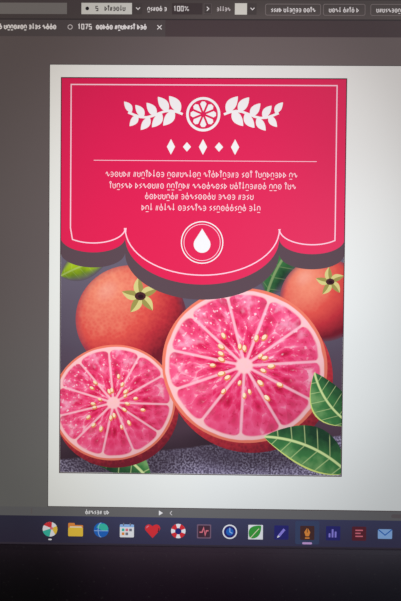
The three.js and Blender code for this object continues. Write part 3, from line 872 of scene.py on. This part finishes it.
PIP_SHADE = ink("seed_shade", 228, 138, 84)
PIP = ink("seed", 251, 226, 190)
CALYX = ink("calyx", 216, 206, 132)
CALYX_LOW = ink("calyx_low", 158, 148, 78)
STALK = ink("stalk", 74, 36, 40)
STALK_LOW = ink("stalk_low", 44, 20, 26)
LEAF_RIM = ink("leaf_rim", 206, 216, 120)

LEAVES_BEHIND = (  # each leaf's place, length, width, turn, bend, tones and softness
    (0, 92, 24, 13, 0.35, 1, LIME_TONES, 0.7), (40, 94, 32, 17, 0.5, -2, LEAF_TONES, 0.7),
    (96, 84, 36, 20, 1, 3, LEAF_TONES, 0.7), (6, 18, 44, 20, -0.55, 4, LEAF_TONES, 0),
)
LEAVES_FRONT = (134, 2, 42, 20, 2.75, -4, LEAF_TONES, 0), (136, 24, 30, 17, 2.2, 3, LEAF_TONES, 0)
WHOLE = (33, 72, 26, 1.5, 0.35), (122, 82, 20, 1.6, 0.7)  # place, radius, pores and softness
WHEELS = (25, 33, 29, 27, 0.25, 1.6, -3.4), (86, 51, 38.5, 36, -0.2, 2.6, -4.6)  # and the rind's offset


def leaves(sheet, x0, z0, rows, rims=False):
    for i, (u, v, *rest, tones, soft) in enumerate(rows):
        shape = (x0 + u, z0 + v, *rest)
        layer = 2 * i if rims else i
        sheet.fill(leaf_points(*shape), leaf_ink(f"{sheet.name}_{i}", *shape, tones, soft), layer)
        if rims:
            sheet.fill(leaf_points(*shape, low=0.96), LEAF_RIM, layer + 1)


def whole_fruit(sheet, x, z, r, material):
    """A whole fruit, with a calyx of five folded lobes round its stalk."""
    sheet.fill(circle(x, z, r, r * 0.97, count=72), material)
    x += 0.16 * r
    z += 0.42 * r
    for k in range(5):
        lobe = (x, z, r * 0.34, r * 0.17, tau * k / 5 + 0.4, 0.6)
        sheet.fill(leaf_points(*lobe), CALYX_LOW, 1)
        sheet.fill(leaf_points(*lobe, low=0.5), CALYX, 2)
    sheet.fill(circle(x, z, r * 0.1, r * 0.075, count=20), STALK, 3)
    sheet.fill(circle(x + 0.2, z - 0.2, r * 0.05, r * 0.035, count=16), STALK_LOW, 4)


def pips(sheet, x, z, rx, rz, turn, dice):
    """A circle of pips in a cut fruit."""
    for k in range(PIPS):
        a = tau * (k + dice.uniform(-0.3, 0.3)) / PIPS
        d = dice.uniform(0.2, 0.5)
        [(px, pz)] = put([(rx * d * cos(a), rz * d * sin(a))], x, z, turn=turn)
        size = rx * dice.uniform(0.036, 0.052)
        along = a + turn + dice.uniform(-0.2, 0.2)
        sheet.fill(circle(px + 0.1, pz - 0.2, size, size * 0.62, along, 14), PIP_SHADE, 2)
        sheet.fill(circle(px - 0.1, pz + 0.15, size * 0.74, size * 0.44, along, 12), PIP, 3)


def ornament(sheet, x, z, blossom):
    """A blossom in a disc between two leafy stems, in place of a title."""
    sheet.fill(circle(x, z, 7.9, count=48), WHITE, 2)
    sheet.fill(circle(x, z, 6.7, count=48), blossom, 3)
    petal = [(d * cos(t), d * sin(t)) for d, t in
             ((1.2, 0), (5, -0.3), (5.9, -0.12), (5.9, 0.12), (5, 0.3))]
    for k in range(8):
        sheet.fill(put(petal, x, z, turn=tau * k / 8), WHITE, 4)
    for side in (1, -1):
        stem = [(x + side * (9.5 + i * 2.8), z + 1.6 * sin(i * 0.75)) for i in range(10)]
        sheet.line(stem, 1.1, WHITE, 2)
        for i, (leaf_x, leaf_z) in enumerate(stem[1:], 1):
            up = 1 if i % 2 else -1
            turn = up * 0.95 if side > 0 else pi - up * 0.95
            size = 9.2 - 0.35 * i
            leaf = leaf_points(leaf_x - side * 1.6, leaf_z, size, size * 0.52, turn, 0.3 * up * side)
            sheet.fill(leaf, WHITE, 3)


def header(sheet, x0, z0, tones):
    """The coloured header with a fine line, an ornament, writing and a round badge."""
    x, z = x0 + LABEL_W / 2, z0 + BADGE
    line = ink("label_line", 255, 209, 224)
    text = ink("label_text", 255, 226, 233)
    band_tone, *corners = tones
    colour = graded(sheet.name, x0 + 20, x0 + 170, 125, 205, *corners)
    inset, top, low = 4.35, LABEL_H - 3.1, 114.3
    left, right = inset + 0.2, LABEL_W - inset
    band = header_edge(7) + [(LABEL_W, LABEL_H - 40), (0, LABEL_H - 40)]
    field = header_edge(0) + [(LABEL_W, LABEL_H), (0, LABEL_H)]
    border = [(left, low)] + [(u, v) for u, v in header_edge(-inset) if left < u < right]
    border += [(right, low), (right, top), (left, top)]

    sheet.fill(put(band, x0, z0), picture(sheet.name + "_band", band_tone))
    sheet.fill(put(field, x0, z0), colour, 1)
    sheet.line(put(border, x0, z0), 0.55, line, 2, closed=True)
    sheet.line(put([(15.2, 145.6), (LABEL_W - 13.2, 145.6)], x0, z0), 0.29, line, 2)
    ornament(sheet, x, z0 + 167, colour)
    for i in range(-2, 3):
        sheet.fill(circle(x + i * 7.4, z0 + 152, 1.9, 2.2 if i % 2 else 3.6, count=4), WHITE, 2)
    for i, (width, v) in enumerate(((89.5, 138.1), (86, 132.8), (53, 127.9), (56, 122.7))):
        scrawl(sheet, 40 + i, x - width / 2, z0 + v, width, 2.2, 0.29, text, 2)
    sheet.ring(x, z, 9.6, 0.5, WHITE, 2, count=48)
    sheet.ring(x, z, 8.4, 0.3, line, 2, count=48)
    sheet.fill([(x, z + 6.4)] + arc(x, z - 0.9, 3.9, 3.9, 152, 388, 24), WHITE, 2)


def draw_label(name, x0, z0, seed, tones):
    """A label: its picture of cut and whole fruit, the header over it and the edge."""
    x1, z1 = x0 + LABEL_W, z0 + LABEL_H
    window = ((x0, z0), (x1, z1))
    with Sheet(name + "_backdrop", 3) as sheet:
        sheet.rect(x0, z0, x1, z0 + HEADER_LOW + 2, backdrop_ink(sheet.name, x0, z0))
    with Sheet(name + "_leaves_behind", 4, window) as sheet:
        leaves(sheet, x0, z0, LEAVES_BEHIND)
    with Sheet(name + "_whole_fruit", 8, window) as sheet:
        for i, (u, v, r, *look) in enumerate(WHOLE):
            place = (x0 + u, z0 + v, r)
            whole_fruit(sheet, *place, skin(f"{sheet.name}_{i}", *place, tones, *look))
    for i, (u, v, rx, rz, turn, rind_x, rind_z) in enumerate(WHEELS):
        x, z, size = x0 + u, z0 + v, (rx, rz, turn)
        with Sheet(f"{name}_wheel_{i + 1}", 13 + 4 * i, window) as sheet:
            rind = skin(sheet.name + "_rind", x + 4, z + 10, rx * 1.5, tones)
            sheet.fill(circle(x + rind_x, z + rind_z, *size, 96), rind)
            sheet.fill(circle(x, z, *size, 96), cut_fruit(sheet.name, x, z, *size, tones), 1)
            pips(sheet, x, z, *size, random.Random(seed + i))
    with Sheet(name + "_leaves_front", 21, window) as sheet:
        leaves(sheet, x0, z0, LEAVES_FRONT, rims=True)
    with Sheet(name + "_header", 25) as sheet:
        header(sheet, x0, z0, tones["header"])
    with Sheet(name + "_edge", 30) as sheet:
        sheet.frame(x0, z0, x1, z1, 0.42, ink("label_edge", 62, 34, 44))


for label in LABELS:
    draw_label(*label)

# ---- icons, tools and panels
HUES = {
    name: ink("hue_" + name, *tone)
    for name, tone in {
        "red": (226, 48, 56), "orange": (238, 146, 62), "yellow": (247, 206, 66), "green": (58, 160, 60),
        "teal": (58, 196, 172), "blue": (30, 104, 196), "navy": (40, 38, 116), "violet": (150, 138, 232),
        "pink": (238, 122, 138), "cream": (250, 234, 202), "brown": (76, 44, 42), "wine": (98, 34, 48),
        "night": (36, 32, 52), "sky": (150, 192, 244), "white": (244, 244, 246), "grey": (122, 124, 138),
        "mauve": (126, 98, 120), "plum": (72, 44, 60),
    }.items()
}


def disc(r, x=0, z=0):
    return circle(x, z, r, count=24)


def block(x0, z0, x1, z1, r=0.12):
    return rounded(x0, z0, x1, z1, r, 2)


def tile(half_wide=0.95, half_tall=0.95):
    return block(-half_wide, -half_tall, half_wide, half_tall)


def wedge(start, wide, r=1, x=0, z=0):
    return [(x, z)] + arc(0, 0, r, r, start, start + wide)


# An icon is a list of a hue, an outline and, where it is a line, its width; all in half icons.
ICONS = {
    "ball": [("white", disc(1))]
    + [(hue, wedge(a, 72, 1, 0.2, 0.15)) for hue, a in (("red", 75), ("yellow", -45), ("teal", 195))]
    + [("pink", disc(0.2, 0.2, 0.15))],
    "folder": [("orange", block(-1, -0.8, 1, 0.62)), ("orange", block(-1, 0.3, -0.1, 0.9)),
               ("cream", block(-0.8, -0.3, 0.85, 0.45)), ("yellow", block(-1, -0.9, 1, 0.28))],
    "globe": [("blue", disc(1)), ("teal", arc(0.15, 0.2, 0.8, 0.7, -30, 170) + [(-0.2, 0.1), (0.2, -0.1)]),
              ("sky", arc(0, 0, 0.42, 0.98, 90, 270), 0.1), ("sky", [(-0.95, -0.1), (0.95, -0.1)], 0.1)],
    "calendar": [("white", block(-0.95, -0.95, 0.95, 0.8)), ("sky", block(-0.95, 0.42, 0.95, 0.8))]
    + [("grey", [(x, 1), (x, 0.6)], 0.16) for x in (-0.45, 0.45)]
    + [(hue, block(x, z, x + 0.36, z + 0.36, 0.05)) for hue, x, z in (
        ("teal", -0.68, -0.1), ("pink", -0.18, -0.1), ("grey", 0.32, -0.1),
        ("orange", -0.68, -0.62), ("grey", -0.18, -0.62))],
    "heart": [("red", [(0, -1)] + arc(0.5, 0.315, 0.525, 0.525, -30, 165, 10)
               + arc(-0.5, 0.315, 0.525, 0.525, 15, 210, 10)),
              ("pink", arc(-0.5, 0.34, 0.28, 0.28, 90, 180), 0.16),
              ("wine", arc(0.42, 0.2, 0.42, 0.44, -48, 20, 8), 0.14)],
    "lifebelt": [("white", disc(0.98))] + [("red", wedge(a, 50, 0.98)) for a in (20, 110, 200, 290)]
    + [("navy", disc(0.42))],
    "pulse": [
        ("mauve", tile()), ("plum", tile(0.8, 0.8)),
        ("pink", [(-0.6, -0.1), (-0.25, -0.1), (-0.05, 0.5), (0.15, -0.5), (0.3, 0.1), (0.6, 0.1)], 0.16)],
    "clock": [("white", disc(0.98)), ("navy", disc(0.8)), ("blue", disc(0.5)),
              ("sky", [(0, 0.55), (0, 0), (0.35, -0.2)], 0.14)],
    "leaf": [("white", block(-0.98, -0.98, 0.98, 0.98, 0.03)),
             ("green", leaf_points(-0.75, -0.8, 2.25, 1.5, 0.85, 0.1)),
             ("cream", [(-0.75, -0.85), (0.45, 0.5)], 0.09)],
    "brush": [("navy", tile()), ("violet", [(-0.35, -0.5), (0.4, 0.45)], 0.34),
              ("white", [(-0.58, -0.75), (-0.22, -0.55), (-0.46, -0.36)])],
    "pen nib": [("brown", tile()),
                ("orange", [(0, 0.75), (0.4, 0.1), (0.22, -0.45), (-0.22, -0.45), (-0.4, 0.1)]),
                ("brown", [(0, 0.75), (0, 0.05)], 0.1), ("orange", [(-0.3, -0.68), (0.3, -0.68)], 0.18)],
    "bars": [("navy", tile())]
    + [("violet", block(x, -0.55, x + 0.24, top, 0.04))
       for x, top in ((-0.6, 0), (-0.2, 0.55), (0.2, 0.25))],
    "notes": [("wine", tile())]
    + [("pink", [(-0.5, z), (end, z)], 0.17) for z, end in ((0.45, 0.5), (0.05, 0.2), (-0.35, 0.5))],
    "letter": [("sky", tile(0.95, 0.65)), ("blue", [(-0.9, 0.6), (0, -0.15), (0.9, 0.6)], 0.14)],
    "speech": [("orange", block(-0.95, -0.5, 0.95, 0.85, 0.4)),
               ("orange", [(-0.5, -0.3), (-0.5, -0.95), (0.1, -0.4)]),
               ("white", [(-0.5, 0.35), (0.5, 0.35)], 0.14), ("white", [(-0.5, 0), (0.2, 0)], 0.14)],
    "camera": [("night", block(-0.95, -0.7, 0.95, 0.6)), ("grey", disc(0.5)), ("sky", disc(0.3))],
}

GLYPHS = (  # line drawings of tools, in half glyphs
    ([(-0.5, -0.9), (-0.5, 0.9), (0.7, -0.2), (0.1, -0.2), (-0.5, -0.9)],),
    (disc(0.8),),
    (block(-0.8, -0.6, 0.8, 0.6),),
    ([(-0.8, -0.8), (0.8, 0.8)], disc(0.16, -0.8, -0.8), disc(0.16, 0.8, 0.8)),
    (arc(-0.2, 0.2, 0.55, 0.55, 0, 360, 12), [(0.2, -0.2), (0.85, -0.85)]),
    ([(r * sin(pi * i / 5), r * cos(pi * i / 5))
      for i, r in enumerate((0.9, 0.4) * 5 + (0.9,))],),
    ([(-0.9, 0.5), (0.5, 0.5), (0.5, -0.9)], [(-0.5, 0.9), (-0.5, -0.5), (0.9, -0.5)]),
    (arc(-0.9, 0.9, 1.7, 1.7, -90, 0), [(-0.9, -0.4), (-0.9, -1)]),
    ([(-0.8, -0.8), (0.4, 0.4)], [(0.1, 0.7), (0.7, 0.1)], [(0.4, 0.4), (0.8, 0.8)]),
    [line for a in (-0.75, 0, 0.75) for line in ([(-0.8, a), (0.8, a)], [(a, -0.8), (a, 0.8)])],
    ([(-0.7, -0.8), (0.7, 0.7)], [(-0.7, 0.7), (0.7, -0.8)], disc(0.2, -0.7, -0.8), disc(0.2, 0.7, -0.8)),
    ([(0, 0.9), (0, -0.9)], [(-0.9, 0), (0.9, 0)]),
)


def glyph(sheet, kind, x, z, r, *look):
    sheet.strokes(GLYPHS[kind % len(GLYPHS)], x, z, r, 0.13 * r + 0.12, *look)


FIRST_ICON, ICON_STEP, ICON_HALF = -189.8, 12.075, 3.5
OPEN_ICON = 10  # the running program's icon
BAR_MIDDLE = 6.4

# icons of everyday things between a search field and a clock
with Sheet("desktop_bar", 2) as sheet:
    x = FIRST_ICON + OPEN_ICON * ICON_STEP
    sheet.rect(x - 5.6, 1, x + 5.6, 12, ink("tile_lit", 60, 72, 106), r=0.8)
    sheet.rect(x - 2.3, 1, x + 2.3, 2, ink("pill", 214, 170, 226), 1, r=0.5)
    sheet.rect(FIRST_ICON - 0.8, 1.2, FIRST_ICON + 0.8, 1.9, HUES["white"], r=0.3)
    for i, icon in enumerate(ICONS.values()):
        for layer, (hue, points, *width) in enumerate(icon, 1):
            points = put(points, FIRST_ICON + i * ICON_STEP, BAR_MIDDLE, ICON_HALF)
            if width:
                sheet.line(points, width[0] * ICON_HALF, HUES[hue], layer)
            else:
                sheet.fill(points, HUES[hue], layer)
    for i in range(9):
        x, z = -259 + 2.4 * (i % 3), 3.4 + 2.4 * (i // 3)
        sheet.rect(x, z, x + 1.6, z + 1.6, HUES["sky"])
    sheet.rect(-249, 2.6, -216, 10.2, ink("search_field", 82, 82, 108), r=3.6)
    glyph(sheet, 4, -244.5, BAR_MIDDLE, 1.6, HUES["white"], 1)
    scrawl(sheet, 61, -240.5, 5.4, 18, 1.9, 0.4, PALE, 1)
    glyph(sheet, 0, 196, BAR_MIDDLE, 1.5, PALE)
    for r in (0.9, 1.9, 2.9):
        sheet.line(arc(207, 4.8, r, r, 45, 135), 0.45, WHITE)
    sheet.fill([(213, 5.6), (214.4, 5.6), (216.2, 4), (216.2, 8.8), (214.4, 7.2), (213, 7.2)], WHITE)
    sheet.line(arc(216.6, BAR_MIDDLE, 1.5, 1.5, -50, 50), 0.4, WHITE)
    number(sheet, "10:45", 227, 7.2, 2.6, 0.42, WHITE)
    number(sheet, "24", 225.4, 2.8, 2.4, 0.38, WHITE)
    scrawl(sheet, 63, 230.6, 2.8, 12, 2, 0.38, WHITE)
    sheet.ring(252.5, BAR_MIDDLE, 2.1, 0.4, WHITE)

# a tool's name, arrows and the scroll bars beside the drawing
with Sheet("status_bar", 2) as sheet:
    number(sheet, "1075", -236, 13.9, 1.8, 0.36, PALE)
    scrawl(sheet, 64, -173.1, 13.85, 11.4, 1.55, 0.3, WHITE)
    sheet.fill([(-138.6, 13.6), (-136.7, 14.8), (-138.6, 16)], WHITE)
    for x, side in ((-132.9, -0.4), (162, 0.4)):
        sheet.line([(x - side, 13.8), (x + side, 14.8), (x - side, 15.8)], 0.35, PALE)
    sheet.rect(-198.8, 13.5, -198.4, 16.2, PANEL_LIT)
    sheet.rect(-30, 13.9, 120, 15.7, PANEL_LIT, r=0.8)
    sheet.rect(166.4, 60, 169.2, 178, PANEL_LIT, r=1.2)

# the window's title, its menus and the row of tool groups
with Sheet("menu_rows", 2) as sheet:
    title = 291.8
    sheet.fill(circle(-258, title, 2.4), HUES["orange"])
    sheet.fill(circle(-258, title, 1.2), HUES["brown"], 1)
    scrawl(sheet, 70, -40, 290.6, 70, 2.1, 0.4, DIM)
    sheet.line([(229, title), (233, title)], 0.45, PALE)
    sheet.frame(241.4, title - 1.8, 245, title + 1.8, 0.45, PALE)
    for turn in (1.9, -1.9):
        sheet.line([(253.6, title - turn), (257.4, title + turn)], 0.45, PALE)
    x = -258
    for i, width in enumerate((10, 9, 13, 10, 15, 10, 12, 9, 15, 9)):
        scrawl(sheet, 71 + i, x, 282.3, width, 2.3, 0.45, PALE)
        x += width + 6
    for i in range(9):
        x0 = -259 + 58 * i
        sheet.rect(x0 + 54.6, 257, x0 + 55, 276, PANEL_EDGE)
        scrawl(sheet, 82 + i, x0 + 14, 255.4, 24, 1.7, 0.36, DIM)
        for k in range(4):
            x = x0 + 7 + 13 * k
            glyph(sheet, 3 * i + k, x, 270, 3.4, PALE if (i + k) % 3 else DIM, 1)
            scrawl(sheet, 92 + 4 * i + k, x - 4.2, 261.2, 8.6, 1.5, 0.32, DIM)

# two columns of drawing tools with the two colours in use under them
with Sheet("tool_strip", 3) as sheet:
    x, z = -257.2, 228.5
    sheet.rect(x - 4.6, z - 4.6, x + 4.6, z + 4.6, PANEL_EDGE, r=0.8)
    for i in range(26):
        glyph(sheet, i, x + 10 * (i % 2), z - 12.6 * (i // 2), 2.5, PALE, 1)
    sheet.rect(-254, 44, -245, 53, HUES["white"])
    sheet.rect(-252.6, 45.4, -246.4, 51.6, PANEL_INK, 1)
    sheet.rect(-260, 50, -251, 59, ink("chosen", 226, 36, 88), 2)
    sheet.frame(-260, 50, -251, 59, 0.3, PALE, 3)

# rows of colours, four sliders and the list of layers
with Sheet("docks", 3) as sheet:
    left, right = DOCK_LEFT + 3, EDGE_X - 4
    for z, seed in ((227, 140), (150, 141), (92, 142)):
        sheet.rect(DOCK_LEFT, z, EDGE_X, z + 8, PANEL_DARK)
        sheet.rect(left, z, left + 24, z + 8, PANEL_INK, 1)
        scrawl(sheet, seed, left + 3, z + 2.8, 18, 2.2, 0.44, WHITE, 2)
        scrawl(sheet, seed + 3, left + 29, z + 2.8, 18, 2.2, 0.44, DIM, 2)
        sheet.rect(DOCK_LEFT, z - 0.6, EDGE_X, z, PANEL_EDGE, 1)
    hues = list(HUES.values())
    for i in range(60):
        x, z = left + 2 + 8.1 * (i % 10), 214 - 8.1 * (i // 10)
        sheet.rect(x, z, x + 7, z + 7, hues[(i * 7 + i // 10) % len(hues)])
    for i, level in enumerate(("100", "45", "23", "0")):
        z = 138 - 10.5 * i
        scrawl(sheet, 150 + i, left + 2, z, 15, 2.1, 0.42, PALE)
        sheet.rect(left + 20, z + 0.6, right - 18, z + 1.3, PANEL_EDGE)
        sheet.fill(circle(left + 30 + 9 * i, z + 0.95, 1.5, count=20), PALE, 1)
        sheet.rect(right - 14, z - 1.6, right, z + 3.8, PANEL_EDGE, r=0.6)
        number(sheet, level, right - 12, z, 2.3, 0.42, WHITE, 1)
    sheet.rect(DOCK_LEFT, 66.5, EDGE_X, 77.5, ink("row_lit", 92, 96, 122))
    layers = "red wine", "white pink", "green sky", "cream orange", "pink red", "grey night"
    for i, layer in enumerate(layers):
        field, motif = layer.split()
        z = 80 - 11.5 * i
        sheet.line(circle(left + 4, z + 3.5, 2, 1.1, count=16), 0.4, PALE, 1, closed=True)
        sheet.rect(left + 12, z - 0.5, left + 20, z + 7.5, HUES[field], 1)
        sheet.rect(left + 13.4, z + 0.8, left + 18.6, z + 3.6, HUES[motif], 2)
        scrawl(sheet, 160 + i, left + 24, z + 2.4, 34, 2.2, 0.44, PALE, 1)
        sheet.ring(right - 4, z + 3.5, 1.5, 0.35, DIM, 1, count=20)
        sheet.rect(DOCK_LEFT, z - 2.3, EDGE_X, z - 2, PANEL_EDGE, 1)

# ---- camera, light and floor
PHOTO_HEIGHT = 601  # the picture's longer side, in pixels
FOCAL_PIXELS = 451
SENSOR = 36
AIM = Vector((-120 * MM, PANEL_FACE, LIT_BOTTOM + 114.66 * MM))
CAMERA_OFFSET = Vector((2.1 * MM, -210 * MM, 3.05 * MM))
TURNS = (0.572, "Z"), (-0.8315, "X"), (-0.528, "Y"), (90, "X")  # in degrees, from a camera that looks down

camera = placed("camera", bpy.data.cameras.new("camera"))
tuned(camera.data, sensor_width=SENSOR, lens=FOCAL_PIXELS / PHOTO_HEIGHT * SENSOR)
tuned(camera.data, clip_start=0.01, clip_end=50)
camera.matrix_world = Matrix.Translation(AIM + CAMERA_OFFSET)
for degrees, axis in TURNS:
    camera.matrix_world @= Matrix.Rotation(radians(degrees), 4, axis)
bpy.context.scene.camera = camera

for name, place, wide, tall, watts in (  # large lamps that shine on the middle of the part
    ("key", (1.1, -1.2, 1.5), 1.2, 1.2, 30), ("fill", (-1.6, -0.9, 0.9), 1.4, 1.2, 10),
    ("back", (-0.6, 1.7, 1.5), 1.6, 1.2, 34),
):
    light = placed(name, bpy.data.lights.new(name, "AREA"))
    tuned(light.data, shape="RECTANGLE", size=wide, size_y=tall, energy=watts)
    light.location = place
    light.rotation_euler = (Vector((0, 0, 0.2)) - light.location).to_track_quat("-Z", "Y").to_euler()

world = bpy.data.worlds.new("studio")
world.use_nodes = True
sky = world.node_tree.nodes["Background"]
sky.inputs["Color"].default_value = (0.86, 0.88, 0.92, 1)
sky.inputs["Strength"].default_value = 0.46
bpy.context.scene.world = world
bpy.context.scene.view_settings.view_transform = "Standard"

floor = placed("floor", bpy.data.meshes.new("floor"))
floor.data.from_pydata([(-6, -6, 0), (6, -6, 0), (6, 6, 0), (-6, 6, 0)], [], [(0, 1, 2, 3)])
floor.data.materials.append(FLOOR)
